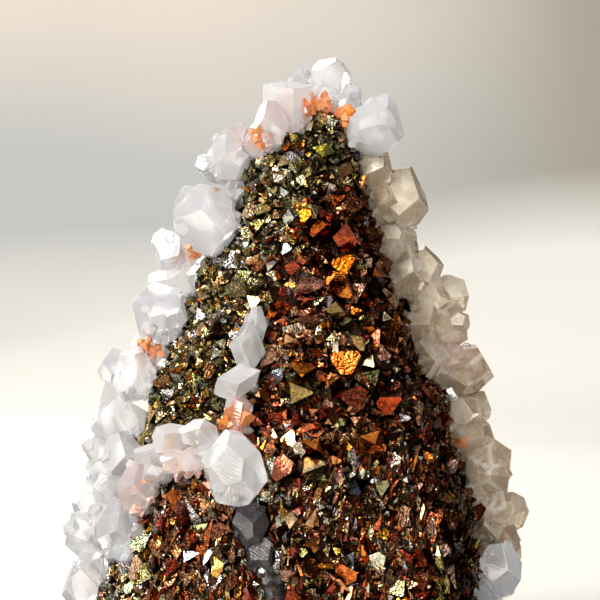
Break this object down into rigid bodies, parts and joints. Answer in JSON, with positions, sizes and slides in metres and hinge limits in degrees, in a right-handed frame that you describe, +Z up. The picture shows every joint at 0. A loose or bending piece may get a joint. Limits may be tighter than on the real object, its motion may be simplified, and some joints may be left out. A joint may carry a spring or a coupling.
{
  "type": "calcite with pyrite mineral specimen",
  "caption": "Tall spire of small sharp pyrite crystals with chains of glassy calcite crystals along its ridges and over its summit, cut off flat below to stand.",
  "frame": {"origin": "on the flat cut that the specimen rests on, near its middle", "axes": "+Z up through the spire, the front faces -Y, +X is to the right seen from the front"},
  "size_m": [0.0518, 0.04, 0.0659],
  "materials": {
    "pyrite": "metallic crystal crust, gold-olive to red-brown",
    "calcite": "glassy to milky crystal"
  },
  "bodies": {
    "root": {"pyrite_matrix": "pyrite", "calcite_summit": "calcite", "calcite_left_ridge": "calcite", "calcite_left_foot": "calcite", "calcite_lobe_rim_1": "calcite", "calcite_lobe_rim_2": "calcite", "calcite_lobe_drip": "calcite", "calcite_face_chain": "calcite", "calcite_right_ridge": "calcite", "calcite_right_foot": "calcite", "calcite_right_toe": "calcite", "calcite_rear_crest": "calcite", "calcite_rear_left": "calcite", "calcite_rear_right": "calcite", "calcite_rear_middle": "calcite", "calcite_rear_foot": "calcite", "calcite_rear_left_foot": "calcite"}
  },
  "joints": []
}
